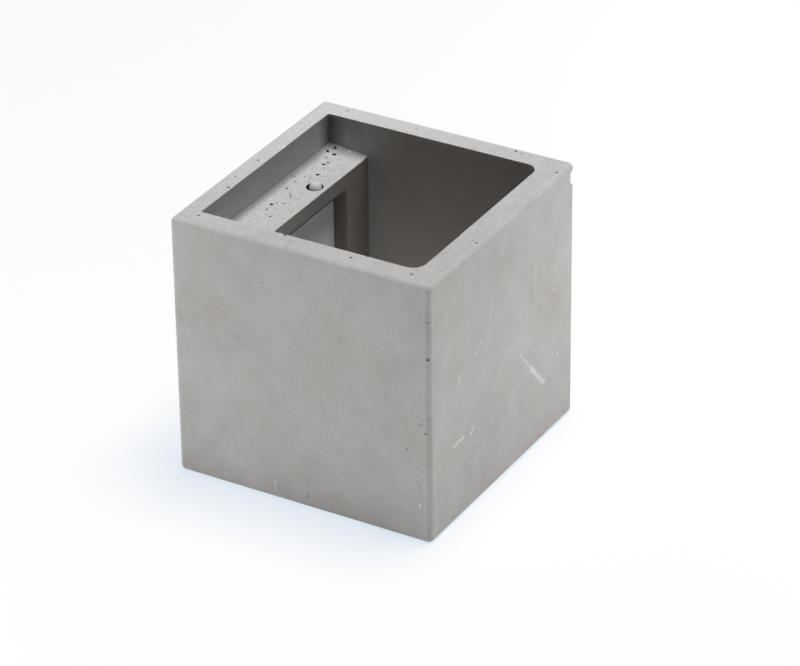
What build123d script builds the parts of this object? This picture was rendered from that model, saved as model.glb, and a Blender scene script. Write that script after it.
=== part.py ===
"""Hollow cast-concrete cube, the housing of an up and down wall light.

Units are millimetres, +Z is up. The wall side faces +Y and the front faces -Y.
The origin is the centre of the footprint, on the floor.
"""
import os
from math import cos, radians, sin

from build123d import *

# Outer cube
WIDTH = 122.5              # side to side
DEPTH = 121.5              # wall side to front
HEIGHT = 120.0
EDGE_RADIUS = 2.4          # four upright outer edges
TOP_ARRIS = 1.2            # outer edge of the top face
BOTTOM_ARRIS = 2.4         # outer edge of the bottom face

# Shaft that runs from top to bottom
WALL = 10.8                # left, right and front walls
FRONT_CORNER = 5.8         # inner corners at the front
BACK_DEPTH = 27.7          # wall plane to the shaft, through the whole back wall

# Ledges, one under each open end
LIP = 8.7                  # wall-side lip left standing behind each ledge
LEDGE_DEPTH = 16.0         # rim down to the ledge
LEDGE_SLAB = 8.6           # thickness of the ledge slab
SPLAY = 2.2                # sloping foot where the ledge meets the lip and walls
LIP_CORNER = 0.8           # upright corners between lip and side walls
SLAB_ARRIS = 1.0           # the slab's front edge at the window

# Window and rear pocket under the ledge
WEB = 6.0                  # concrete left between pocket and shaft
POCKET_MARGIN = 19.0       # outer side face to the pocket
POCKET_CORNER = 3.0
WINDOW_WIDTH = 63.0
WINDOW_ARRIS = 1.5

# Hole in the upper ledge
HOLE_DIAMETER = 7.5
HOLE_OFFSET = 16.1         # from the middle of the block
HOLE_INSET = 1.8           # hole edge to the ledge's front edge

# Chip in the rear right edge
CHIP_HEIGHT = 8.2
CHIP_BITE = 1.7            # deepest, measured across the rounded edge
CHIP_DROP = 6.9            # top face down to the middle of the chip
CHIP_REACH = 12.0          # width of the cut, more than it needs

# Mounting plate
PLATE_THICK = 2.0
PLATE_SIDE_GAP = 0.8       # plate edge to pocket side
PLATE_TOP_GAP = 0.1        # tab to the slab above it
PLATE_CORNER = 3.0
TAB_WIDTH = 16.0
TAB_MARGIN = 0.8           # tab left in front of the pin's spigot
BEND_RADIUS = 0.6
SCREW_HOLE = 5.0           # two holes for wall screws
SCREW_SPACING = 56.0
CABLE_HOLE = 12.0

# Locking pin with a domed top
PIN_DIAMETER = 5.4
PIN_PROUD = 2.7            # top of the dome above the ledge
PIN_GAP = 0.05             # the pin stands this close to one side of its hole,
PIN_BEARING = 40.0         # turned this far from the front towards the middle
SPIGOT_DIAMETER = 2.0
SPIGOT_GAP = 0.05          # radial gap around the spigot
SPIGOT_SHORT = 0.1         # spigot end to the underside of the tab

# Sizes that follow from the ones above
SIDE_FACE = WIDTH / 2
WALL_FACE = DEPTH / 2
INNER_X = SIDE_FACE - WALL
INNER_FRONT = WALL - DEPTH / 2
SHAFT_BACK = WALL_FACE - BACK_DEPTH
LIP_FACE = WALL_FACE - LIP
LEDGE_TOP = HEIGHT - LEDGE_DEPTH
POCKET_TOP = LEDGE_TOP - LEDGE_SLAB
POCKET_FLOOR = HEIGHT - POCKET_TOP
POCKET_WIDTH = WIDTH - 2 * POCKET_MARGIN
POCKET_FACE = SHAFT_BACK + WEB
HOLE_Y = SHAFT_BACK + HOLE_INSET + HOLE_DIAMETER / 2
PIN_SHIFT = (HOLE_DIAMETER - PIN_DIAMETER) / 2 - PIN_GAP
PIN_X = HOLE_OFFSET - PIN_SHIFT * sin(radians(PIN_BEARING))
PIN_Y = HOLE_Y - PIN_SHIFT * cos(radians(PIN_BEARING))
TAB_FRONT = PIN_Y - SPIGOT_DIAMETER / 2 - TAB_MARGIN
TAB_TOP = POCKET_TOP - PLATE_TOP_GAP
OVERRUN = 5.0


def near(value, target):
    """True when two lengths are the same."""
    return abs(value - target) < 0.01


def upright(width, depth, x, y, z_low, z_high):
    """A plain box given by its middle in plan and its two levels."""
    return Pos(x, y, (z_low + z_high) / 2) * Box(width, depth, z_high - z_low)


def outer_cube():
    """The cube with its rounded outer edges."""
    cube = upright(WIDTH, DEPTH, 0, 0, 0, HEIGHT)
    cube = fillet(cube.edges().filter_by(Axis.Z), EDGE_RADIUS)
    cube = fillet(cube.faces().sort_by(Axis.Z)[-1].edges(), TOP_ARRIS)
    return fillet(cube.faces().sort_by(Axis.Z)[0].edges(), BOTTOM_ARRIS)


def shaft():
    """The passage from top to bottom, with wide corners at the front."""
    depth = SHAFT_BACK - INNER_FRONT
    core = upright(2 * INNER_X, depth, 0, SHAFT_BACK - depth / 2, -OVERRUN, HEIGHT + OVERRUN)
    return fillet(core.edges().filter_by(Axis.Z).group_by(Axis.Y)[0], FRONT_CORNER)


def rebate():
    """The space above the upper ledge, closed in by the lip."""
    depth = LIP_FACE - SHAFT_BACK + OVERRUN
    space = upright(2 * INNER_X, depth, 0, LIP_FACE - depth / 2, LEDGE_TOP, HEIGHT + OVERRUN)
    floor = space.faces().sort_by(Axis.Z)[0]
    front = floor.edges().sort_by(Axis.Y)[0]
    space = chamfer([edge for edge in floor.edges() if edge != front], SPLAY)
    corners = [
        edge for edge in space.edges().filter_by(Axis.Z)
        if near(edge.center().Y, LIP_FACE)
    ]
    return fillet(corners, LIP_CORNER)


def mirrored(shape):
    """The same form seen in the mirror plane at half height."""
    return Pos(0, 0, HEIGHT) * mirror(shape, about=Plane.XY)


def pocket():
    """The recess in the wall side that takes the mounting plate."""
    depth = WALL_FACE + OVERRUN - POCKET_FACE
    space = upright(POCKET_WIDTH, depth, 0, POCKET_FACE + depth / 2, POCKET_FLOOR, POCKET_TOP)
    return fillet(space.edges().filter_by(Axis.Y), POCKET_CORNER)


def window():
    """The opening in the web between the pocket and the shaft."""
    return upright(WINDOW_WIDTH, WEB + 2 * OVERRUN, 0, SHAFT_BACK + WEB / 2,
                   POCKET_FLOOR, POCKET_TOP)


def chip():
    """The flat bite broken out of the rear right edge."""
    round_off = EDGE_RADIUS * (1 - 1 / 2 ** 0.5)
    reach = (CHIP_REACH / 2 - CHIP_BITE) / 2 ** 0.5 - round_off
    bite = Rot(0, 0, 45) * Box(CHIP_REACH, CHIP_REACH, CHIP_HEIGHT)
    return Pos(SIDE_FACE + reach, -WALL_FACE - reach, HEIGHT - CHIP_DROP) * bite


def concrete_body():
    """The whole casting."""
    body = outer_cube() - shaft() - rebate() - mirrored(rebate()) - pocket() - window()
    body -= Pos(HOLE_OFFSET, HOLE_Y, LEDGE_TOP) * Cylinder(HOLE_DIAMETER / 2, 4 * LEDGE_SLAB)
    front_edges = [edge for edge in body.edges() if near(edge.center().Y, SHAFT_BACK)]
    jambs = [
        edge for edge in front_edges
        if near(abs(edge.center().X), WINDOW_WIDTH / 2) and near(edge.center().Z, HEIGHT / 2)
    ]
    body = fillet(jambs, WINDOW_ARRIS)
    slabs = [
        edge for edge in body.edges().filter_by(Axis.X)
        if near(edge.center().Y, SHAFT_BACK)
        and (near(edge.center().Z, POCKET_TOP) or near(edge.center().Z, POCKET_FLOOR))
    ]
    body = chamfer(slabs, SLAB_ARRIS)
    return body - chip()


def mounting_plate():
    """Flat plate that closes the window from behind, with a tab under the ledge."""
    width = POCKET_WIDTH - 2 * PLATE_SIDE_GAP
    back = POCKET_FACE + PLATE_THICK
    middle = POCKET_FACE + PLATE_THICK / 2
    plate = upright(width, PLATE_THICK, 0, middle, POCKET_FLOOR, TAB_TOP - PLATE_THICK)
    plate = fillet(plate.edges().filter_by(Axis.Y), PLATE_CORNER)
    tab = upright(TAB_WIDTH, back - TAB_FRONT, HOLE_OFFSET, (back + TAB_FRONT) / 2,
                  TAB_TOP - PLATE_THICK, TAB_TOP)
    foot = upright(TAB_WIDTH, PLATE_THICK, HOLE_OFFSET, middle,
                   TAB_TOP - 3 * PLATE_THICK, TAB_TOP)
    plate = plate + tab + foot
    bend = [
        edge for edge in plate.edges().filter_by(Axis.X)
        if near(edge.center().Y, back) and near(edge.center().Z, TAB_TOP)
    ]
    plate = fillet(bend, BEND_RADIUS)
    turned = Rot(90, 0, 0)
    level = (POCKET_FLOOR + POCKET_TOP) / 2
    for x in (-SCREW_SPACING / 2, SCREW_SPACING / 2):
        plate -= Pos(x, middle, level) * turned * Cylinder(SCREW_HOLE / 2, 4 * PLATE_THICK)
    plate -= Pos(0, middle, level) * turned * Cylinder(CABLE_HOLE / 2, 4 * PLATE_THICK)
    socket = Cylinder(SPIGOT_DIAMETER / 2 + SPIGOT_GAP, PLATE_THICK)
    return plate - Pos(PIN_X, PIN_Y, TAB_TOP - PLATE_THICK / 2) * socket


def locking_pin():
    """Turned pin: domed on top, standing on the tab, with a spigot in the tab's hole."""
    radius = PIN_DIAMETER / 2
    length = LEDGE_TOP + PIN_PROUD - radius - TAB_TOP
    shank = Cylinder(radius, length, align=(Align.CENTER, Align.CENTER, Align.MIN))
    dome = Pos(0, 0, length) * Sphere(radius)
    spigot = Cylinder(SPIGOT_DIAMETER / 2, PLATE_THICK - SPIGOT_SHORT,
                      align=(Align.CENTER, Align.CENTER, Align.MAX))
    return Pos(PIN_X, PIN_Y, TAB_TOP) * (shank + dome + spigot)


os.makedirs("parts", exist_ok=True)
export_step(concrete_body(), "parts/concrete_body.step")
export_step(mounting_plate(), "parts/mounting_plate.step")
export_step(locking_pin(), "parts/locking_pin.step")
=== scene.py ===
"""Dresses the hollow concrete cube: its casting, wall plate and locking pin, on white paper.

Lengths are millimetres, and turn to metres only where they meet Blender.
"""
import logging
import math
import random
from dataclasses import dataclass
from enum import Enum
from typing import Callable

import bpy
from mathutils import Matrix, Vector


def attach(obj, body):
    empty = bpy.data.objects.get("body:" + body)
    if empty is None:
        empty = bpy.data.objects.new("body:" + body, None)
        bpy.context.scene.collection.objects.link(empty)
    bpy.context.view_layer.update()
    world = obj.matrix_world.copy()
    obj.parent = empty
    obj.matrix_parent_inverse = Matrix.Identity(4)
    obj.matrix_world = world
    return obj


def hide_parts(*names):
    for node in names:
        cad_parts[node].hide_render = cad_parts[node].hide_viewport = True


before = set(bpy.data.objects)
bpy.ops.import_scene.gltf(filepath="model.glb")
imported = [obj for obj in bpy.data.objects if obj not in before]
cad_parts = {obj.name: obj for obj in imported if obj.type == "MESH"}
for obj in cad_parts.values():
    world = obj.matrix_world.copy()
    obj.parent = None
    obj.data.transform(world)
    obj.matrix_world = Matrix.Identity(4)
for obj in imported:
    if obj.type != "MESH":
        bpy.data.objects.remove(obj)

MM = 0.001
LOG = logging.getLogger("concrete_cube")

X, Y, Z = 0, 1, 2
TOUCH = 0.01                   # mm within which two places are the same
OVERRUN = 9.0                  # mm that a cutter reaches past the skin
EASED = 1.0 - 1.0 / math.sqrt(2.0)  # how far a rounded edge lies inside its corner, in radii
SQUASH = (0.86, 1.12)          # how flat and how long a bubble or bite may be

EdgeTest = Callable[[Vector, Vector], bool]


class Skin(Enum):
    """The faces of the casting that air bubbles rose or clung to."""

    RIM = "rim"
    LEDGE = "ledge"
    LEFT_FACE = "left face"
    RIGHT_FACE = "right face"
    HIDDEN_FACE = "hidden face"
    WALL_FACE = "wall face"


@dataclass(frozen=True)
class AirHole:
    """A bubble broken open at the surface, seen as a dark pit.

    across and along are its place on its face, in mm: X and Y on the rim and the ledge,
    Y and Z on the left and hidden faces, X and Z on the right and wall faces.
    """

    skin: Skin
    across: float
    along: float
    mouth: float
    undercut: float = 0.8


# The bubbles that catch the eye: across, along and mouth, and undercut where it is shallow
PLAIN_HOLES = tuple(AirHole(skin, *sizes) for skin, holes in (
    (Skin.LEDGE, (
        (45.8, 50.0, 2.0), (45.6, 46.7, 1.9), (37.7, 45.0, 1.2, 0.4), (35.5, 45.8, 1.8),
        (26.1, 43.2, 1.6), (49.3, 48.5, 1.7, 0.3), (41.6, 48.2, 1.1, 0.3), (9.3, 48.2, 1.3),
        (-5.8, 46.4, 1.7, 0.5), (-2.8, 42.0, 0.9, 0.3), (4.4, 43.3, 1.1, 0.2),
        (-10.4, 45.8, 0.9, 0.3), (-15.4, 41.2, 1.0, 0.3), (16.1, 48.3, 0.9, 0.3),
        (18.8, 50.6, 0.8, 0.3), (-3.6, 45.1, 0.7, 0.4), (25.7, 41.0, 0.6, 0.5),
        (21.9, 44.5, 0.8, 0.3), (22.2, 47.4, 0.9, 0.2))),
    (Skin.RIM, (
        (-51.2, 11.7, 1.3), (58.2, -34.6, 1.4, 0.4), (56.9, -37.9, 0.9, 0.3),
        (49.5, -58.4, 1.1, 0.4), (-19.9, -59.0, 1.0, 0.4), (-18.4, -56.8, 0.8, 0.4),
        (-54.6, -21.2, 1.3, 0.2), (-53.7, 51.3, 1.0, 0.5), (-27.2, 53.6, 1.2, 0.6),
        (-17.7, 56.1, 0.8, 0.4), (-0.9, 55.6, 0.9, 0.4), (56.5, 46.3, 1.0, 0.2),
        (56.4, 12.3, 0.8, 0.3), (-54.8, -49.0, 1.5, 0.1))),
    (Skin.LEFT_FACE, (
        (-59.7, 87.0, 1.4, 0.7), (-59.6, 103.8, 1.0, 0.4), (-58.6, 52.4, 0.9, 0.5),
        (-50.0, 42.8, 0.7, 0.4), (15.9, 70.0, 0.6, 0.5), (-31.4, 110.5, 0.6, 0.4))),
    (Skin.RIGHT_FACE, (
        (-56.4, 33.0, 0.6, 0.4), (-54.4, 16.7, 0.6, 0.4))),
) for sizes in holes)


# Modelling by hand


def near(value: float, target: float) -> bool:
    """Says whether two lengths in mm are the same."""
    return abs(value - target) < TOUCH


def lies_on(first: Vector, last: Vector, axis: int, plane: float) -> bool:
    """Says whether both ends of an edge lie at the same given place on an axis."""
    return near(first[axis], plane) and near(last[axis], plane)


def runs_along(first: Vector, last: Vector, axis: int) -> bool:
    """Says whether an edge covers more than a millimetre of an axis."""
    return abs(first[axis] - last[axis]) > 1


def deselect() -> None:
    """Leaves object mode with nothing selected."""
    if bpy.context.mode != "OBJECT":
        bpy.ops.object.mode_set(mode="OBJECT")
    bpy.ops.object.select_all(action="DESELECT")


def activate(obj: bpy.types.Object) -> None:
    """Makes obj the only selected object."""
    deselect()
    obj.select_set(True)
    bpy.context.view_layer.objects.active = obj


def add_block(name: str, low: tuple[float, float, float],
              high: tuple[float, float, float]) -> bpy.types.Object:
    """Adds a cuboid as a starting shape.

    Args:
        name: the object's name.
        low: its lowest corner, in mm.
        high: its highest corner, in mm.

    Returns:
        The new object, with its place in its mesh.
    """
    deselect()
    middle = [(a + b) / 2 * MM for a, b in zip(low, high)]
    bpy.ops.mesh.primitive_cube_add(size=1.0, location=middle)
    obj = bpy.context.object
    obj.name = name
    obj.scale = [(b - a) * MM for a, b in zip(low, high)]
    bpy.ops.object.transform_apply(location=True, rotation=True, scale=True)
    return obj


def bevel(obj: bpy.types.Object, test: EdgeTest, width: float, steps: int) -> None:
    """Rounds the edges of obj that pass a test.

    Args:
        obj: the object to shape.
        test: takes an edge's two ends in mm, and says whether it is rounded.
        width: the radius, in mm.
        steps: the number of faces across the round.
    """
    activate(obj)
    bpy.ops.object.mode_set(mode="EDIT")
    bpy.ops.mesh.select_mode(type="EDGE")
    bpy.ops.mesh.select_all(action="DESELECT")
    bpy.ops.object.mode_set(mode="OBJECT")
    mesh = obj.data
    for edge in mesh.edges:
        first, last = (mesh.vertices[i].co / MM for i in edge.vertices)
        edge.select = test(first, last)
    bpy.ops.object.mode_set(mode="EDIT")
    bpy.ops.mesh.bevel(offset=width * MM, segments=steps, profile=0.5, affect="EDGES",
                       clamp_overlap=True)
    bpy.ops.object.mode_set(mode="OBJECT")


def flatten(obj: bpy.types.Object, test: Callable[[Vector], bool], centre: Vector,
            share: tuple[float, float, float]) -> None:
    """Draws the points of obj that pass a test towards a centre.

    Args:
        obj: the object to shape.
        test: takes a point in mm, and says whether it moves.
        centre: the place that stays, in mm.
        share: how much of the distance is left along each axis.
    """
    activate(obj)
    bpy.ops.object.mode_set(mode="EDIT")
    bpy.ops.mesh.select_mode(type="VERT")
    bpy.ops.mesh.select_all(action="DESELECT")
    bpy.ops.object.mode_set(mode="OBJECT")
    for point in obj.data.vertices:
        point.select = test(point.co / MM)
    bpy.ops.object.mode_set(mode="EDIT")
    bpy.ops.transform.resize(value=share, center_override=centre * MM)
    bpy.ops.object.mode_set(mode="OBJECT")


def modify(obj: bpy.types.Object, kind: str, **settings: object) -> None:
    """Adds a modifier with these settings and applies it."""
    activate(obj)
    bpy.ops.object.modifier_add(type=kind)
    modifier = obj.modifiers[-1]
    for key, value in settings.items():
        setattr(modifier, key, value)
    bpy.ops.object.modifier_apply(modifier=modifier.name)


def carve(obj: bpy.types.Object, cutter: bpy.types.Object) -> None:
    """Cuts cutter out of obj, and deletes cutter."""
    modify(obj, "BOOLEAN", operation="DIFFERENCE", solver="EXACT", object=cutter)
    mesh = cutter.data
    bpy.data.objects.remove(cutter)
    bpy.data.meshes.remove(mesh)


def add_ball(centre: Vector, radius: float, detail: int,
             draw: random.Random) -> bpy.types.Object:
    """Adds a slightly squashed and turned ball, to cut with.

    Args:
        centre: its middle, in mm.
        radius: its mean radius, in mm.
        detail: how often its faces are divided.
        draw: the source of its squash and turn.

    Returns:
        The new ball.
    """
    bpy.ops.mesh.primitive_ico_sphere_add(subdivisions=detail, radius=radius * MM,
                                          location=centre * MM)
    ball = bpy.context.object
    ball.scale = [draw.uniform(*SQUASH) for _ in range(3)]
    ball.rotation_euler = [draw.uniform(0.0, math.pi) for _ in range(3)]
    return ball


def join(parts: list[bpy.types.Object]) -> bpy.types.Object:
    """Makes one object of parts, with its place in its mesh."""
    deselect()
    for part in parts:
        part.select_set(True)
    bpy.context.view_layer.objects.active = parts[0]
    bpy.ops.object.join()
    bpy.ops.object.transform_apply(location=True, rotation=True, scale=True)
    return bpy.context.object


# Materials


def colour(code: str) -> tuple[float, float, float, float]:
    """Turns an sRGB hex value into linear red, green, blue and alpha."""
    parts = [int(code[i:i + 2], 16) / 255 for i in (0, 2, 4)]
    return (*[c / 12.92 if c <= 0.04045 else ((c + 0.055) / 1.055) ** 2.4 for c in parts], 1.0)


def add_node(tree: bpy.types.NodeTree, kind: str, links: dict | None = None,
             **settings: object) -> bpy.types.Node:
    """Adds one node.

    Args:
        tree: the node tree it goes in.
        kind: the node's type, without its ShaderNode prefix.
        links: input name or number to a value or to the output socket that feeds it.
        settings: the node's own settings.

    Returns:
        The new node.
    """
    node = tree.nodes.new("ShaderNode" + kind)
    for key, value in settings.items():
        setattr(node, key, value)
    for key, value in (links or {}).items():
        if isinstance(value, bpy.types.NodeSocket):
            tree.links.new(value, node.inputs[key])
        else:
            node.inputs[key].default_value = value
    return node


def new_material(name: str) -> tuple[bpy.types.Material, bpy.types.NodeTree,
                                    bpy.types.Node]:
    """Starts a material, and gives it with its node tree and its shader."""
    material = bpy.data.materials.new(name)
    material.use_nodes = True
    tree = material.node_tree
    return material, tree, tree.nodes["Principled BSDF"]


@dataclass(frozen=True)
class Mark:
    """A rub, scratch or spot on the skin: a soft line between two places on one face.

    start and end are read as an air hole's across and along. width is in mm, and strength is
    above 0 where the mark is paler than the skin, and below 0 where it is darker.
    """

    skin: Skin
    start: tuple[float, float]
    end: tuple[float, float]
    width: float
    strength: float


MARKS = tuple(Mark(skin, *sizes) for skin, marks in (
    (Skin.RIGHT_FACE, (
        ((14.6, 50.9), (27.0, 36.5), 1.5, 0.26),
        ((24.0, 39.5), (34.6, 27.6), 2.5, 0.46),
        ((-42.4, 36.7), (-34.1, 37.0), 1.2, 0.50),
        ((-27.8, 35.4), (-25.1, 37.2), 1.2, 0.55),
        ((-37.6, 64.8), (-36.4, 67.6), 2.6, 0.20),
        ((27.3, 72.4), (27.3, 90.0), 2.6, 0.12),
        ((43.9, 67.9), (43.9, 68.3), 0.8, 0.95),
        ((47.4, 34.9), (47.4, 35.1), 0.8, 0.95),
        ((-24.0, 71.2), (-22.6, 71.8), 0.7, 0.60),
        ((-19.4, 74.4), (-19.4, 74.7), 0.7, 0.60))),
    (Skin.LEFT_FACE, (
        ((-1.7, 4.6), (-2.6, 7.4), 0.8, -0.55),
        ((13.8, 4.5), (13.4, 8.5), 1.1, 0.28),
        ((-55.7, 16.8), (-55.7, 17.8), 0.9, 0.60),
        ((-54.6, 27.6), (-56.0, 25.4), 0.8, -0.45),
        ((-20.0, 85.4), (-19.0, 85.4), 2.6, -0.16))),
    (Skin.LEDGE, (((49.5, 41.5), (49.5, 41.9), 1.2, 0.95),)),
    (Skin.RIM, (((14.2, 52.3), (15.6, 52.6), 1.0, 0.70),)),
) for sizes in marks)


@dataclass(frozen=True)
class Zone:
    """A box on the casting whose skin takes a tone of painted shade. All in mm.

    soft_low and soft_high say how far inside each side the tone takes to come in, and share
    how much of the skin's own tone it takes over.
    """

    low: tuple[float, float, float]
    high: tuple[float, float, float]
    tone: str
    soft_low: tuple[float, float, float] = (0.0, 0.0, 0.0)
    soft_high: tuple[float, float, float] = (0.0, 0.0, 0.0)
    share: float = 1.0


class Pattern(Enum):
    """The patterns in the concrete: mm across one of their patches, and their detail."""

    CLOUD = (38.0, 3.0)
    BLOTCH = (8.0, 4.0)
    STAIN = (30.0, 4.0)
    SCREED = (2.4, 3.0)        # the marks that the screed left
    SAND = (0.8, 2.0)          # drawn coarser than real so that it shows
    TEAR = (1.6, 3.0)          # the breaks in a rub mark
    WAVE = (14.0, 2.0)         # the slow waves of the mould


@dataclass(frozen=True)
class FairFacedConcrete:
    """Grey cement cast against a smooth mould: matt, faintly cloudy, with sand in the skin."""

    base: str = "AAA9A7"
    dark: str = "A09E9B"
    pale: str = "B4B3B1"
    stain: str = "A59B93"      # the brown cast where the mould's oil stayed
    stain_share: float = 0.35  # the most that a stain covers
    stain_from: float = 0.52   # a stain is where its pattern is past these
    stain_full: float = 0.75
    laitance_and_top_light: str = "C6C5C5"  # rim and ledge: the pale cement film of a struck-off skin, with painted light on the tops
    level_from: float = 0.74   # a skin turns pale where its normal's Z is past these
    level_full: float = 0.93
    bloom_from: float = -60.0  # X + Y in mm where the pale film and painted light start on the rim
    bloom_full: float = 112.0
    most_bloom: float = 0.79   # its share there, at the far left corner
    ledge_bloom: float = 0.30
    above_ledge: tuple[float, float] = (110.0, 116.0)  # heights between ledge and rim, in mm
    grit: float = 0.38         # how far sand and screed marks change that share
    white_grain: str = "E4E3E0"
    dark_grain: str = "6E6B67"
    grain_share: float = 0.8   # how much of the skin a stray grain covers
    speck: float = 5.0         # mm between stray grains
    ragged: float = 0.35       # how far breaks eat into a rub mark, in its widths
    wave_height: float = 0.25
    sand_height: float = 0.06
    limit: float = 0.1         # mm over which a zone ends
    noise: float = 0.55        # roughness of every pattern
    roughness: float = 0.88
    shine: float = 0.3

    def build(self, zones: list[Zone],
              marks: list[tuple[Vector, Vector, Mark]]) -> bpy.types.Material:
        """Makes the concrete's material.

        Args:
            zones: the zones of painted shade.
            marks: the marks, each with its two ends on the casting, in mm.

        Returns:
            The material.
        """
        material, tree, shader = new_material("fair_faced_concrete")
        sight = add_node(tree, "TexCoord")
        place = sight.outputs["Object"]
        patterns = {pattern: add_node(tree, "TexNoise", {
            "Vector": place, "Scale": 1000 / pattern.value[0], "Detail": pattern.value[1],
            "Roughness": self.noise}).outputs["Fac"] for pattern in Pattern}
        skin = ConcreteSkin(self, tree, place, patterns)
        tone = skin.cement()
        for layer in (skin.stains(), skin.laitance_and_top_light_layer(sight.outputs["Normal"]),
                      *[skin.zone(zone) for zone in zones], *skin.stray_grains(),
                      *[skin.mark(start * MM, end * MM, mark) for start, end, mark in marks]):
            tone = add_node(tree, "Mix", {0: layer.amount, 6: tone, 7: colour(layer.code)},
                            data_type="RGBA").outputs[2]
        tree.links.new(tone, shader.inputs["Base Color"])
        shader.inputs["Roughness"].default_value = self.roughness
        shader.inputs["Specular IOR Level"].default_value = self.shine
        swell = add_node(tree, "Bump", {"Height": patterns[Pattern.WAVE], "Strength": 0.5,
                                        "Distance": self.wave_height * MM})
        relief = add_node(tree, "Bump", {"Height": patterns[Pattern.SAND],
                                         "Strength": 0.35,
                                         "Distance": self.sand_height * MM,
                                         "Normal": swell.outputs[0]})
        tree.links.new(relief.outputs["Normal"], shader.inputs["Normal"])
        return material


@dataclass(frozen=True)
class Layer:
    """A colour that lies over the skin, and the amount of it at each place."""

    amount: bpy.types.NodeSocket
    code: str


@dataclass(frozen=True)
class ConcreteSkin:
    """The patterns of the concrete's skin, worked out from the place on the casting."""

    look: FairFacedConcrete
    tree: bpy.types.NodeTree
    place: bpy.types.NodeSocket
    patterns: dict[Pattern, bpy.types.NodeSocket]

    def cement(self) -> bpy.types.NodeSocket:
        """Makes the cement's own colour, with its clouds, blotches and fine grain."""
        look, tree = self.look, self.tree
        total = add_node(tree, "Math", {0: self.patterns[Pattern.CLOUD],
                                        1: self.patterns[Pattern.BLOTCH]}, operation="ADD")
        total = add_node(tree, "Math", {0: total.outputs[0], 1: self.patterns[Pattern.SAND]},
                         operation="ADD")
        # The three patterns add up to 1.5 in the middle of their reach
        level = add_node(tree, "MapRange", {"Value": total.outputs[0], "From Min": 1.0,
                                            "From Max": 2.0})
        ramp = add_node(tree, "ValToRGB", {"Fac": level.outputs[0]})
        ramp.color_ramp.elements[0].color = colour(look.dark)
        ramp.color_ramp.elements[1].color = colour(look.pale)
        ramp.color_ramp.elements.new(0.5).color = colour(look.base)
        return ramp.outputs["Color"]

    def stains(self) -> Layer:
        """Makes the brown stains."""
        look = self.look
        amount = add_node(self.tree, "MapRange", {
            "Value": self.patterns[Pattern.STAIN], "From Min": look.stain_from,
            "From Max": look.stain_full, "To Max": look.stain_share})
        return Layer(amount.outputs[0], look.stain)

    def laitance_and_top_light_layer(self, normal: bpy.types.NodeSocket) -> Layer:
        """Makes level faces paler and sandier: the pale cement film of a struck-off skin, with
        painted light on the ledge, and on the rim growing towards the far left corner.

        Args:
            normal: the way the skin faces.

        Returns:
            The pale layer.
        """
        look, tree = self.look, self.tree
        facing = add_node(tree, "SeparateXYZ", {0: normal})
        up = add_node(tree, "MapRange", {"Value": facing.outputs[Z],
                                         "From Min": look.level_from,
                                         "From Max": look.level_full})
        spot = add_node(tree, "SeparateXYZ", {0: self.place})
        across = add_node(tree, "Math", {0: spot.outputs[X], 1: spot.outputs[Y]},
                          operation="ADD")
        bloom = add_node(tree, "MapRange", {"Value": across.outputs[0],
                                            "From Min": look.bloom_from * MM,
                                            "From Max": look.bloom_full * MM,
                                            "To Max": look.most_bloom})
        low, high = look.above_ledge
        level = add_node(tree, "MapRange", {"Value": spot.outputs[Z], "From Min": low * MM,
                                            "From Max": high * MM})
        share = add_node(tree, "Mix", {0: level.outputs[0], 2: look.ledge_bloom,
                                       3: bloom.outputs[0]})
        grain = add_node(tree, "Math", {0: self.patterns[Pattern.SAND],
                                        1: self.patterns[Pattern.SCREED]}, operation="ADD")
        # The two patterns add up to 1.0 in the middle of their reach
        gritty = add_node(tree, "MapRange", {"Value": grain.outputs[0], "From Min": 0.65,
                                             "From Max": 1.35, "To Min": -look.grit,
                                             "To Max": look.grit})
        share = add_node(tree, "Math", {0: share.outputs[0], 1: gritty.outputs[0]},
                         operation="ADD", use_clamp=True)
        amount = add_node(tree, "Math", {0: share.outputs[0], 1: up.outputs[0]},
                          operation="MULTIPLY")
        return Layer(amount.outputs[0], look.laitance_and_top_light)

    def zone(self, zone: Zone) -> Layer:
        """Makes one zone's tone, which comes in at each side of its box."""
        tree = self.tree
        spot = add_node(tree, "SeparateXYZ", {0: self.place})
        inside = None
        for axis in (X, Y, Z):
            low, high = zone.low[axis], zone.high[axis]
            for start, end in ((low - self.look.limit, low + zone.soft_low[axis]),
                               (high + self.look.limit, high - zone.soft_high[axis])):
                step = add_node(tree, "MapRange", {
                    "Value": spot.outputs[axis], "From Min": start * MM,
                    "From Max": end * MM,
                    "To Max": zone.share if inside is None else 1.0}).outputs[0]
                inside = step if inside is None else add_node(
                    tree, "Math", {0: inside, 1: step}, operation="MULTIPLY").outputs[0]
        return Layer(inside, zone.tone)

    def stray_grains(self) -> list[Layer]:
        """Scatters the white and the dark grains."""
        look, tree = self.look, self.tree
        layers = []
        # Spacing and size in mm, and the share of places that hold a grain
        for spacing, shade, size, share in ((look.speck, look.white_grain, 0.3, 0.55),
                                            (look.speck * 0.8, look.dark_grain, 0.32, 0.5)):
            cell = add_node(tree, "TexVoronoi", {"Vector": self.place,
                                                 "Scale": 1000 / spacing})
            dot = add_node(tree, "MapRange", {
                "Value": cell.outputs["Distance"], "From Min": size / spacing,
                "From Max": size / spacing * 0.5, "To Max": look.grain_share})
            parts = add_node(tree, "SeparateColor", {"Color": cell.outputs["Color"]})
            chosen = add_node(tree, "Math", {0: parts.outputs[0], 1: share},
                              operation="LESS_THAN")
            amount = add_node(tree, "Math", {0: dot.outputs[0], 1: chosen.outputs[0]},
                              operation="MULTIPLY")
            layers.append(Layer(amount.outputs[0], shade))
        return layers

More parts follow.
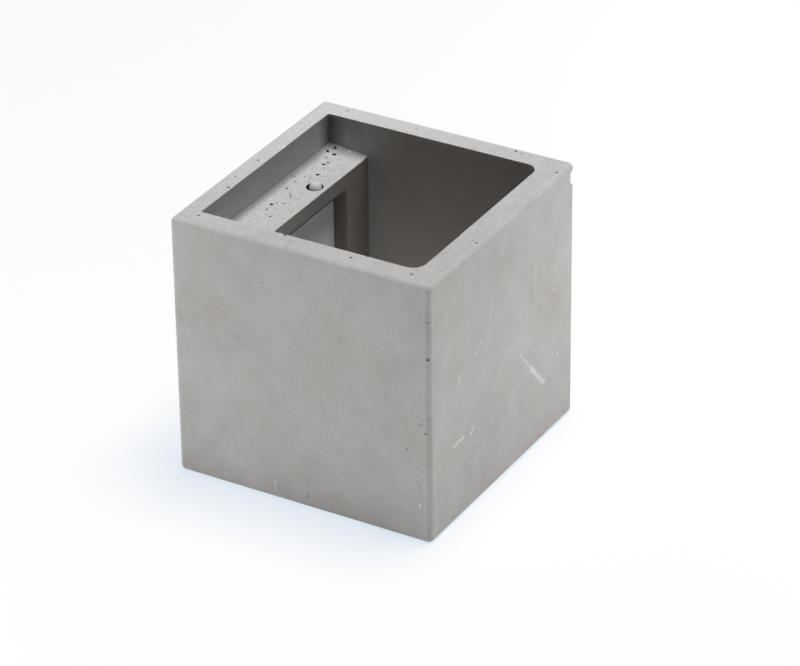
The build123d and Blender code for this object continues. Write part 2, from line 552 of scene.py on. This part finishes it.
    def mark(self, start: Vector, end: Vector, mark: Mark) -> Layer:
        """Draws one mark, broken up by the skin's grain.

        Args:
            start: the mark's first end, in metres.
            end: its last end, in metres.
            mark: the mark.

        Returns:
            The mark's pale or dark layer.
        """
        look, tree = self.look, self.tree
        run, wide = end - start, mark.width * MM
        away = add_node(tree, "VectorMath", {0: self.place, 1: start}, operation="SUBTRACT")
        along = add_node(tree, "VectorMath", {0: away.outputs[0],
                                              1: run / run.length_squared},
                         operation="DOT_PRODUCT")
        share = add_node(tree, "Clamp", {"Value": along.outputs["Value"]})
        step = add_node(tree, "VectorMath", {0: run, "Scale": share.outputs[0]},
                        operation="SCALE")
        gap = add_node(tree, "VectorMath", {0: away.outputs[0], 1: step.outputs[0]},
                       operation="DISTANCE")
        # The pattern stays between 0.3 and 0.7 nearly everywhere
        ragged = add_node(tree, "MapRange", {
            "Value": self.patterns[Pattern.TEAR], "From Min": 0.3, "From Max": 0.7,
            "To Min": -look.ragged * wide, "To Max": look.ragged * wide})
        gap = add_node(tree, "Math", {0: gap.outputs["Value"], 1: ragged.outputs[0]},
                       operation="ADD")
        amount = add_node(tree, "MapRange", {
            "Value": gap.outputs[0], "From Min": 0.9 * wide, "From Max": -0.1 * wide,
            "To Max": abs(mark.strength)}, interpolation_type="SMOOTHSTEP")
        return Layer(amount.outputs[0],
                     look.white_grain if mark.strength > 0 else look.dark_grain)


@dataclass(frozen=True)
class PowderCoat:
    """White polyester powder on sheet steel: satin, with a faint orange peel."""

    base: str = "FCFDFF"
    peel: float = 1.4          # mm between bumps of the orange peel
    peel_height: float = 0.04
    roughness: float = 0.45

    def build(self) -> bpy.types.Material:
        """Makes the paint's material."""
        material, tree, shader = new_material("white_powder_coat")
        place = add_node(tree, "TexCoord").outputs["Object"]
        peel = add_node(tree, "TexNoise", {"Vector": place, "Scale": 1000 / self.peel,
                                           "Detail": 1.0})
        bump = add_node(tree, "Bump", {"Height": peel.outputs["Fac"], "Strength": 0.2,
                                       "Distance": self.peel_height * MM})
        tree.links.new(bump.outputs["Normal"], shader.inputs["Normal"])
        shader.inputs["Base Color"].default_value = colour(self.base)
        shader.inputs["Roughness"].default_value = self.roughness
        return material


@dataclass(frozen=True)
class ZincFlake:
    """Zinc flakes in a matt binder on a turned steel pin: even grey, without a highlight."""

    base: str = "C3C1C2"
    cloud: float = 1.2         # mm across a patch of the dull bloom
    smoothest: float = 0.85
    roughest: float = 0.98
    metal: float = 0.35        # the share of flakes that lie bare

    def build(self) -> bpy.types.Material:
        """Makes the coat's material."""
        material, tree, shader = new_material("matt_zinc_flake")
        place = add_node(tree, "TexCoord").outputs["Object"]
        cloud = add_node(tree, "TexNoise", {"Vector": place, "Scale": 1000 / self.cloud})
        rough = add_node(tree, "MapRange", {"Value": cloud.outputs["Fac"],
                                            "To Min": self.smoothest,
                                            "To Max": self.roughest})
        tree.links.new(rough.outputs[0], shader.inputs["Roughness"])
        shader.inputs["Base Color"].default_value = colour(self.base)
        shader.inputs["Metallic"].default_value = self.metal
        return material


@dataclass(frozen=True)
class StudioPaper:
    """White paper sweep: the camera sees it burn out to white, with a faint cool shadow."""

    sheet: str = "F9F9F9"      # what the light and the object see
    shade: str = "97816D"      # how much of the light the camera counts, less of the blue
    lift: str = "CDDCE8"       # the even glow that brings it up to white

    def build(self) -> bpy.types.Material:
        """Makes the paper's material."""
        material, tree, shader = new_material("studio_paper")
        tree.nodes.remove(shader)
        output = tree.nodes["Material Output"]
        seen = seen_directly(tree)
        face = add_node(tree, "Mix", {0: seen, 6: colour(self.sheet), 7: colour(self.shade)},
                        data_type="RGBA")
        paper = add_node(tree, "BsdfDiffuse", {"Color": face.outputs[2]})
        glow = add_node(tree, "Emission", {"Color": colour(self.lift), "Strength": seen})
        both = add_node(tree, "AddShader", {0: paper.outputs[0], 1: glow.outputs[0]})
        tree.links.new(both.outputs[0], output.inputs["Surface"])
        return material


def seen_directly(tree: bpy.types.NodeTree) -> bpy.types.NodeSocket:
    """Gives 1 for what the camera sees, also in a mirror or through glass, and 0 for light."""
    path = add_node(tree, "LightPath")
    seen = add_node(tree, "Math", {0: path.outputs["Is Camera Ray"],
                                   1: path.outputs["Is Glossy Ray"]}, operation="ADD")
    seen = add_node(tree, "Math", {0: seen.outputs[0],
                                   1: path.outputs["Is Transmission Ray"]},
                    operation="ADD", use_clamp=True)
    return seen.outputs[0]


# The casting


@dataclass
class ConcreteCube:
    """The casting, with its shaft, ledges, window and rear pocket. Sizes in mm."""

    width: float = 122.5
    depth: float = 121.5
    height: float = 120.0
    edge_radius: float = 2.4
    top_arris: float = 2.0     # the rim's outer arris, worn a little fuller than as cast
    wall: float = 10.8
    front_corner: float = 5.8
    back_depth: float = 27.7
    lip: float = 8.7
    ledge_depth: float = 16.0
    ledge_slab: float = 8.6
    splay: float = 2.2
    splay_foot: float = 1.6    # how far the splay's foot is rounded into the ledge
    splay_end: float = 0.05    # the share of the side splays that is left at the front
    rebate_ahead: float = 6.0  # how far the space over a ledge is cut into the shaft
    lip_corner: float = 0.8
    web: float = 6.0
    web_overrun: float = 5.0   # how far the window's cutter reaches past each side of it
    pocket_margin: float = 19.0
    pocket_corner: float = 3.0
    window_width: float = 63.0
    window_arris: float = 1.0
    hole_diameter: float = 7.5
    hole_offset: float = 16.1
    hole_inset: float = 1.8
    arris: float = 0.25
    sharp_angle: float = 38.0  # degrees an edge turns by before its arris is taken off
    smooth_angle: float = 35.0  # degrees up to which faces are shaded as one
    chip_height: float = 8.2
    chip_bite: float = 1.7
    chip_drop: float = 6.9
    chip_reach: float = 12.0
    chip_runout: float = 3.0   # slope at the chip's lower end
    chip_brow: float = 1.0     # and at its upper end
    chip_grain: float = 0.14
    chip_cuts: int = 15
    nick_radius: tuple[float, float] = (0.5, 1.1)
    nick_bite: tuple[float, float] = (0.06, 0.22)
    nick_margin: float = 6.0   # length without nicks at each end of an outer edge
    nick_gap: float = 1.25     # least distance between two nicks, in their summed radii
    rim_bubbles: int = 95
    rim_bubble: float = 0.5    # mouth of the widest stray one
    ledge_bubbles: int = 120
    ledge_bubble: float = 0.62
    bubble: float = 0.22       # mouth of the finest
    bubble_gap: float = 1.2    # least distance between two bubbles, in their summed radii
    bubble_margin: float = 1.5  # between stray bubbles and the edges of their face
    seed: int = 11

    def __post_init__(self) -> None:
        """Works out the planes that follow from the sizes."""
        self.side = self.width / 2
        self.wall_face = self.depth / 2
        self.inner_x = self.side - self.wall
        self.inner_front = self.wall - self.depth / 2
        self.shaft_back = self.wall_face - self.back_depth
        self.lip_face = self.wall_face - self.lip
        self.ledge_top = self.height - self.ledge_depth
        self.pocket_top = self.ledge_top - self.ledge_slab
        self.pocket_floor = self.height - self.pocket_top
        self.pocket_face = self.shaft_back + self.web
        self.hole_y = self.shaft_back + self.hole_inset + self.hole_diameter / 2

    def build(self, finish: bpy.types.Material) -> bpy.types.Object:
        """Models the casting.

        Args:
            finish: the concrete's material.

        Returns:
            The finished casting.
        """
        body = self.outer_block()
        for cutter in (self.shaft(), self.rebate(1), self.rebate(-1), self.pocket(),
                       self.window()):
            carve(body, cutter)
        self.ease_window(body)
        carve(body, self.hole())
        modify(body, "BEVEL", width=self.arris * MM, segments=2, limit_method="ANGLE",
               angle_limit=math.radians(self.sharp_angle), use_clamp_overlap=True)
        carve(body, self.chip())
        carve(body, self.nicks())
        carve(body, self.air_holes())
        activate(body)
        bpy.ops.object.shade_smooth_by_angle(angle=math.radians(self.smooth_angle))
        modify(body, "WEIGHTED_NORMAL", keep_sharp=True, weight=90)
        body.data.materials.clear()
        body.data.materials.append(finish)
        return body

    def outer_block(self) -> bpy.types.Object:
        """Makes the cube with its rounded outer edges."""
        block = add_block("cast_cube", (-self.side, -self.wall_face, 0.0),
                          (self.side, self.wall_face, self.height))
        bevel(block, lambda a, b: runs_along(a, b, Z) or lies_on(a, b, Z, 0.0),
              self.edge_radius, steps=5)
        bevel(block, lambda a, b: lies_on(a, b, Z, self.height), self.top_arris, steps=5)
        return block

    def shaft(self) -> bpy.types.Object:
        """Makes the cutter for the passage, with wide corners at the front."""
        cutter = add_block("shaft_cutter", (-self.inner_x, self.inner_front, -OVERRUN),
                           (self.inner_x, self.shaft_back, self.height + OVERRUN))
        bevel(cutter, lambda a, b: runs_along(a, b, Z) and near(a.y, self.inner_front),
              self.front_corner, steps=10)
        return cutter

    def rebate(self, up: int) -> bpy.types.Object:
        """Makes the cutter for the space over a ledge.

        Args:
            up: 1 for the upper ledge, -1 for the lower one.

        Returns:
            The cutter, splayed where the ledge meets the lip and the walls.
        """
        if up > 0:
            floor, far = self.ledge_top, self.height + OVERRUN
        else:
            floor, far = self.height - self.ledge_top, -OVERRUN
        front = self.shaft_back - self.rebate_ahead
        cutter = add_block("rebate_cutter", (-self.inner_x, front, min(floor, far)),
                           (self.inner_x, self.lip_face, max(floor, far)))

        def at_foot(first: Vector, last: Vector) -> bool:
            """Says whether an edge lies on the ledge and off the cutter's front."""
            return lies_on(first, last, Z, floor) and not lies_on(first, last, Y, front)

        bevel(cutter, at_foot, self.splay, steps=1)
        bevel(cutter, at_foot, self.splay_foot, steps=4)
        if up > 0:
            flatten(cutter, lambda v: near(v.y, front) and abs(v.z - floor) < self.splay + TOUCH,
                    Vector((0.0, front, floor)), (1.0, 1.0, self.splay_end))
        bevel(cutter, lambda a, b: lies_on(a, b, Y, self.lip_face) and runs_along(a, b, Z),
              self.lip_corner, steps=3)
        return cutter

    def pocket(self) -> bpy.types.Object:
        """Makes the cutter for the recess in the wall side."""
        half = self.side - self.pocket_margin
        cutter = add_block("pocket_cutter", (-half, self.pocket_face, self.pocket_floor),
                           (half, self.wall_face + OVERRUN, self.pocket_top))
        bevel(cutter, lambda a, b: runs_along(a, b, Y), self.pocket_corner, steps=5)
        return cutter

    def window(self) -> bpy.types.Object:
        """Makes the cutter for the opening between the pocket and the shaft."""
        half = self.window_width / 2
        return add_block("window_cutter",
                         (-half, self.shaft_back - self.web_overrun, self.pocket_floor),
                         (half, self.pocket_face + self.web_overrun, self.pocket_top))

    def ease_window(self, body: bpy.types.Object) -> None:
        """Takes the arris off the window's outline on the shaft side."""
        half = self.window_width / 2

        def on_outline(point: Vector) -> bool:
            """Says whether a point lies on the window's outline."""
            beside = near(abs(point.x), half)
            above = near(point.z, self.pocket_top) or near(point.z, self.pocket_floor)
            inside = (abs(point.x) < half + TOUCH
                      and self.pocket_floor - TOUCH < point.z < self.pocket_top + TOUCH)
            return near(point.y, self.shaft_back) and inside and (beside or above)

        bevel(body, lambda a, b: on_outline(a) and on_outline(b), self.window_arris, steps=1)

    def hole(self) -> bpy.types.Object:
        """Makes the cutter for the pin's hole in the upper ledge."""
        deselect()
        bpy.ops.mesh.primitive_cylinder_add(
            vertices=48, radius=self.hole_diameter / 2 * MM,
            depth=2 * (self.ledge_slab + OVERRUN) * MM,
            location=(self.hole_offset * MM, self.hole_y * MM, self.ledge_top * MM))
        bpy.ops.object.transform_apply(location=True, rotation=True, scale=True)
        return bpy.context.object

    def chip(self) -> bpy.types.Object:
        """Makes the rough cutter for the flat bite in the far right upright edge."""
        half, tall = self.chip_reach / 2, self.chip_height / 2
        cutter = add_block("chip_cutter", (-half, -half, -tall), (half, half, tall))
        bevel(cutter, lambda a, b: lies_on(a, b, Y, half) and lies_on(a, b, Z, -tall),
              self.chip_runout, steps=2)
        bevel(cutter, lambda a, b: lies_on(a, b, Y, half) and lies_on(a, b, Z, tall),
              self.chip_brow, steps=1)
        activate(cutter)
        bpy.ops.object.mode_set(mode="EDIT")
        bpy.ops.mesh.select_all(action="SELECT")
        bpy.ops.mesh.subdivide(number_cuts=self.chip_cuts)
        bpy.ops.transform.vertex_random(offset=self.chip_grain * MM, uniform=0.2,
                                        normal=1.0, seed=self.seed)
        bpy.ops.object.mode_set(mode="OBJECT")
        skin = self.edge_radius * EASED
        reach = (half - self.chip_bite) / math.sqrt(2.0) - skin
        cutter.location = Vector((self.side + reach, -self.wall_face - reach,
                                  self.height - self.chip_drop)) * MM
        cutter.rotation_euler = (0.0, 0.0, math.radians(45.0))
        bpy.ops.object.transform_apply(location=True, rotation=True, scale=True)
        return cutter

    def nicks(self) -> bpy.types.Object:
        """Makes the cutter for the small bites that handling took from the arrises."""
        draw = random.Random(self.seed)
        deselect()
        places: list[tuple[Vector, float]] = []
        for start, end, outward, count in self.arris_runs():
            for _ in range(count):
                radius = draw.uniform(*self.nick_radius)
                bite = draw.uniform(*self.nick_bite)
                spot = start.lerp(end, draw.uniform(0.04, 0.96))
                centre = spot + outward.normalized() * (radius - bite)
                if all((centre - other).length > self.nick_gap * (radius + reach)
                       for other, reach in places):
                    places.append((centre, radius))
        return join([add_ball(centre, radius, 3, draw) for centre, radius in places])

    def arris_runs(self) -> list[tuple[Vector, Vector, Vector, int]]:
        """Lists the straight arrises that are worn: two ends, the outward way, a count."""
        x, front, lip, back = self.inner_x, self.inner_front, self.lip_face, self.shaft_back
        turn = self.front_corner
        top, ledge = self.height, self.ledge_top
        soft = self.arris * EASED * 1.2  # a hair past the eased arris
        inner = []
        for start, end, way, count in (
                ((-x, front + turn, top), (-x, lip, top), Vector((1, 0, 1)), 9),
                ((x, front + turn, top), (x, lip, top), Vector((-1, 0, 1)), 9),
                ((-x + turn, front, top), (x - turn, front, top), Vector((0, 1, 1)), 9),
                ((-x, lip, top), (x, lip, top), Vector((0, -1, 1)), 8),
                ((-x, back, ledge), (x, back, ledge), Vector((0, -1, 1)), 7)):
            shift = way.normalized() * soft
            inner.append((Vector(start) - shift, Vector(end) - shift, way, count))
        side, wall, edge = self.side, self.wall_face, self.edge_radius
        skin = edge * EASED
        low, high = self.nick_margin, self.height - self.nick_margin
        outer = [(Vector((sx * (side - skin), sy * (wall - skin), low)),
                  Vector((sx * (side - skin), sy * (wall - skin), high)),
                  Vector((sx, sy, 0)), 4) for sx in (-1, 1) for sy in (-1, 1)]
        return inner + outer

    def ledge_level(self, x: float, y: float) -> tuple[float, Vector]:
        """Gives the height of the ledge's skin at a place, and the way out of it."""
        run = self.lip_face - self.shaft_back + self.rebate_ahead
        full = min(max((y - self.shaft_back + self.rebate_ahead) / run, 0.0), 1.0)
        to_wall = max(abs(x) - (self.inner_x - self.splay), 0.0) * full
        to_lip = max(y - (self.lip_face - self.splay), 0.0)
        if to_wall > to_lip:
            outward = Vector((-math.copysign(1.0, x), 0, 1))
        elif to_lip > 0:
            outward = Vector((0, -1, 1))
        else:
            outward = Vector((0, 0, 1))
        return self.ledge_top + max(to_wall, to_lip), outward.normalized()

    def zones(self) -> list[Zone]:
        """Lists the zones of painted shade: in the shaft, on the back wall, in the window, under
        the slab, up the splay, in the far corner, in the holes and at the foot.

        Each limit is a plane of the casting, moved by the few tenths of a mm that put a
        face inside its zone or keep an edge out of it.
        """
        half, wall = self.window_width / 2, self.inner_x
        back, lip = self.shaft_back, self.lip_face
        top, ledge, slab = self.height, self.ledge_top, self.pocket_top
        # painted shade: the inside of the shaft darker, fading out towards the back wall and at
        # the rim
        shaft = Zone((-wall, self.inner_front, 0.0), (wall, back - 0.2, top - 0.3), "A39D99",
                     soft_high=(0.0, 18.0, 2.2))
        # painted shade on the back wall, darker towards the far wall
        far_back_shade = Zone((-34.0, back - 0.1, 16.0), (wall, back + 0.2, ledge - 0.5), "7A7571",
                        soft_low=(78.0, 0.0, 0.0))
        # painted shade in the window's reveals
        opening = Zone((-half - 1.1, back + 0.15, self.pocket_floor),
                       (half + 1.1, self.pocket_face, slab), "75706C")
        # painted shadow: a dark line along the slab's lower edge over the window
        slab_edge_shadow = Zone((-half, back - 0.1, slab - 0.2), (half, back + 1.2, slab + 1.9),
                         "3F3C3A", soft_high=(0.0, 0.0, 0.6))
        # painted shade in the crease where the ledge meets the lip, darkest up the splay
        splay = Zone((-wall, lip - 4.0, ledge - 0.1), (wall, lip + 0.3, ledge + 2.5),
                     "706D6B", soft_low=(0.0, 1.8, 1.9), share=0.75)
        # painted shade in the far corner between the lip and the far wall, darkest into the
        # corner
        corner = Zone((wall - 9.0, lip - 9.0, ledge + 2.2), (wall, lip, top - 0.4), "67625F",
                      soft_low=(8.5, 8.5, 0.4), soft_high=(0.0, 0.0, 1.0))
        # painted shade: nearly black inside the pin's hole and the air holes below the ledge's
        # skin
        pit_shade = Zone((0.5 - wall, back + 0.5, slab + 0.4), (wall - 0.5, lip, ledge - 0.2),
                    "1E1D1C", soft_high=(0.0, 0.0, 0.1))
        # painted shade at the foot of the right face, darker towards the floor
        foot = Zone((-self.side, -self.wall_face - 0.5, -0.2),
                    (self.side + 0.5, 2.0 - self.wall_face, 60.0), "787674",
                    soft_low=(6.0, 0.0, 0.0), soft_high=(0.0, 1.0, 56.0), share=0.22)
        return [shaft, far_back_shade, opening, slab_edge_shadow, splay, corner, pit_shade, foot]

    def placed_marks(self) -> list[tuple[Vector, Vector, Mark]]:
        """Puts each mark's ends on the casting."""
        return [(self.on_skin(mark.skin, *mark.start)[0],
                 self.on_skin(mark.skin, *mark.end)[0], mark) for mark in MARKS]

    def on_skin(self, skin: Skin, a: float, b: float) -> tuple[Vector, Vector]:
        """Gives a place on the casting and the way out of it.

        Args:
            skin: the face.
            a: the first of the face's two places, as an air hole's across.
            b: the second, as its along.

        Returns:
            The point and the outward direction.
        """
        if skin is Skin.LEDGE:
            level, outward = self.ledge_level(a, b)
            return Vector((a, b, level)), outward
        return {
            Skin.RIM: (Vector((a, b, self.height)), Vector((0, 0, 1))),
            Skin.LEFT_FACE: (Vector((-self.side, a, b)), Vector((-1, 0, 0))),
            Skin.RIGHT_FACE: (Vector((a, -self.wall_face, b)), Vector((0, -1, 0))),
            Skin.HIDDEN_FACE: (Vector((self.side, a, b)), Vector((1, 0, 0))),
            Skin.WALL_FACE: (Vector((a, self.wall_face, b)), Vector((0, 1, 0))),
        }[skin]

    def stray_holes(self, draw: random.Random) -> list[AirHole]:
        """Scatters the fine bubbles that the casting has everywhere."""
        holes = []
        margin = self.bubble_margin
        x, y, wall = self.side - margin, self.wall_face - margin, self.wall - 2 * margin
        for _ in range(self.rim_bubbles):
            side, share = draw.choice(("-x", "+x", "-y", "+y")), draw.uniform(-1, 1)
            inset = draw.uniform(0.0, wall)
            a, b = {"-x": (-x + inset, share * y), "+x": (x - inset, share * y),
                    "-y": (share * x, -y + inset), "+y": (share * x, y - inset * 0.7)}[side]
            mouth = draw.uniform(self.bubble, self.rim_bubble)
            holes.append(AirHole(Skin.RIM, a, b, mouth, undercut=0.4))
        # On the ledge they gather near the pin's hole and along the lip
        for _ in range(self.ledge_bubbles):
            a = draw.triangular(-46.0, 49.0, 18.0)
            b = draw.triangular(self.shaft_back + 2.0, self.lip_face - 0.8, 47.0)
            mouth = draw.uniform(self.bubble, self.ledge_bubble)
            holes.append(AirHole(Skin.LEDGE, a, b, mouth, undercut=0.5))
        for skin, half, count in ((Skin.LEFT_FACE, y, 26), (Skin.RIGHT_FACE, x, 26),
                                  (Skin.HIDDEN_FACE, y, 34), (Skin.WALL_FACE, x, 24)):
            for _ in range(count):
                a, b = draw.uniform(-half + 2, half - 2), draw.uniform(4.0, self.height - 4.0)
                mouth = 0.2 + 0.5 * draw.random() ** 3
                holes.append(AirHole(skin, a, b, mouth, undercut=0.5))
        return holes

    def air_holes(self) -> bpy.types.Object:
        """Makes the cutter for all the air holes, none touching another."""
        draw = random.Random(self.seed + 1)
        deselect()
        balls: list[bpy.types.Object] = []
        taken: list[tuple[Vector, float]] = []
        pocket_x = self.side - self.pocket_margin + self.bubble_margin
        pocket_z = self.pocket_top - self.height / 2 + self.bubble_margin
        for hole in (*PLAIN_HOLES, *self.stray_holes(draw)):
            place, outward = self.on_skin(hole.skin, hole.across, hole.along)
            reach = hole.mouth / 2 * math.sqrt(1 + hole.undercut ** 2)
            centre = place - outward * (hole.mouth / 2 * hole.undercut)
            by_pin = math.hypot(place.x - self.hole_offset, place.y - self.hole_y)
            if hole.skin is Skin.LEDGE and by_pin < self.hole_diameter / 2 + 1.0:
                continue
            if (hole.skin is Skin.WALL_FACE and abs(place.x) < pocket_x
                    and abs(place.z - self.height / 2) < pocket_z):
                continue
            if any((centre - other).length < self.bubble_gap * (reach + near_reach)
                   for other, near_reach in taken):
                continue
            taken.append((centre, reach))
            balls.append(add_ball(centre, reach, 3 if hole.mouth > 1.0 else 2, draw))
        return join(balls)


# The studio


@dataclass
class Studio:
    """White paper, a broad soft lamp overhead, two long low cards and the camera."""

    lens: float = 182.384      # focal length in mm
    camera_place: tuple[float, float, float] = (-1265.54, -752.80, 897.09)
    camera_turn: tuple[float, float, float] = (60.1446, 0.6359, -60.0013)  # degrees
    lamp_place: tuple[float, float, float] = (340.0, -330.0, 2960.0)
    lamp_aim: float = 60.0     # height it points at
    lamp_size: float = 1600.0
    lamp_watts: float = 101.5
    card_distance: float = 420.0
    card_size: tuple[float, float] = (700.0, 100.0)
    card_height: float = 68.0
    cards: tuple[tuple[str, float, float], ...] = (  # name, degrees from +X and watts
        ("left_card", 142.0, 0.95), ("right_card", -42.0, 1.14))
    air: float = 0.02          # strength of the even light from all round
    paper_size: float = 12000.0

    def build(self) -> None:
        """Sets up the floor, lights, camera and view."""
        self.add_floor()
        self.add_lights()
        self.add_air()
        self.add_camera()
        bpy.context.scene.view_settings.view_transform = "Standard"

    def add_floor(self) -> None:
        """Lays the paper."""
        deselect()
        bpy.ops.mesh.primitive_plane_add(size=self.paper_size * MM, location=(0, 0, 0))
        paper = bpy.context.object
        paper.name = "paper_floor"
        paper.data.materials.append(StudioPaper().build())

    def add_lights(self) -> None:
        """Hangs the soft lamp overhead, and a long low lit card on each side."""
        self.hang("overhead_softbox", "DISK", (self.lamp_size, self.lamp_size),
                  self.lamp_watts, Vector(self.lamp_place), Vector((0, 0, self.lamp_aim)))
        for name, bearing, watts in self.cards:
            turn = math.radians(bearing)
            place = Vector((math.cos(turn) * self.card_distance,
                            math.sin(turn) * self.card_distance, self.card_height))
            self.hang(name, "RECTANGLE", self.card_size, watts, place,
                      Vector((0, 0, self.card_height)))

    def hang(self, name: str, shape: str, size: tuple[float, float], watts: float,
             place: Vector, aim: Vector) -> None:
        """Hangs one area lamp.

        Args:
            name: the lamp's name.
            shape: Blender's word for its outline.
            size: its width and height, in mm.
            watts: its power.
            place: its middle, in mm.
            aim: the place that it points at, in mm.
        """
        data = bpy.data.lights.new(name, "AREA")
        data.shape, data.energy = shape, watts
        data.size, data.size_y = (v * MM for v in size)
        lamp = bpy.data.objects.new(name, data)
        lamp.location = place * MM
        lamp.rotation_euler = (aim - place).to_track_quat("-Z", "Y").to_euler()
        bpy.context.scene.collection.objects.link(lamp)

    def add_air(self) -> None:
        """Fills in with even light, and shows white wherever the paper ends."""
        world = bpy.data.worlds.new("studio_air")
        bpy.context.scene.world = world
        world.use_nodes = True
        tree = world.node_tree
        back = tree.nodes["Background"]
        level = add_node(tree, "MapRange", {"Value": seen_directly(tree),
                                            "To Min": self.air, "To Max": 1.0})
        back.inputs["Color"].default_value = colour("FFFFFF")
        tree.links.new(level.outputs[0], back.inputs["Strength"])

    def add_camera(self) -> None:
        """Places the camera where the photograph was taken from."""
        data = bpy.data.cameras.new("camera")
        data.sensor_width = 36.0
        data.lens = self.lens
        data.clip_start, data.clip_end = 0.05, 50.0
        camera = bpy.data.objects.new("camera", data)
        camera.location = [v * MM for v in self.camera_place]
        camera.rotation_euler = [math.radians(v) for v in self.camera_turn]
        bpy.context.scene.collection.objects.link(camera)
        bpy.context.scene.camera = camera


def repaint(name: str, finish: bpy.types.Material) -> bpy.types.Object:
    """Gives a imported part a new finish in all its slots.

    Args:
        name: the part's name in the frame.
        finish: the material it gets.

    Returns:
        The part's object.
    """
    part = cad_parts[name]
    for place in part.material_slots:
        place.material = finish
    return part


def main() -> None:
    """Builds the pieces in order and reports each one."""
    logging.basicConfig(level=logging.INFO, format="%(name)s: %(message)s")
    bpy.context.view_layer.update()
    casting = ConcreteCube()
    cube = casting.build(FairFacedConcrete().build(casting.zones(),
                                                   casting.placed_marks()))
    cube.name = "cast_cube"
    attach(cube, "root")
    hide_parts("concrete_body")
    LOG.info("casting: %d faces", len(cube.data.polygons))
    repaint("mounting_plate", PowderCoat().build())
    repaint("locking_pin", ZincFlake().build())
    LOG.info("plate and pin finished")
    Studio().build()


if __name__ == "__main__":
    main()
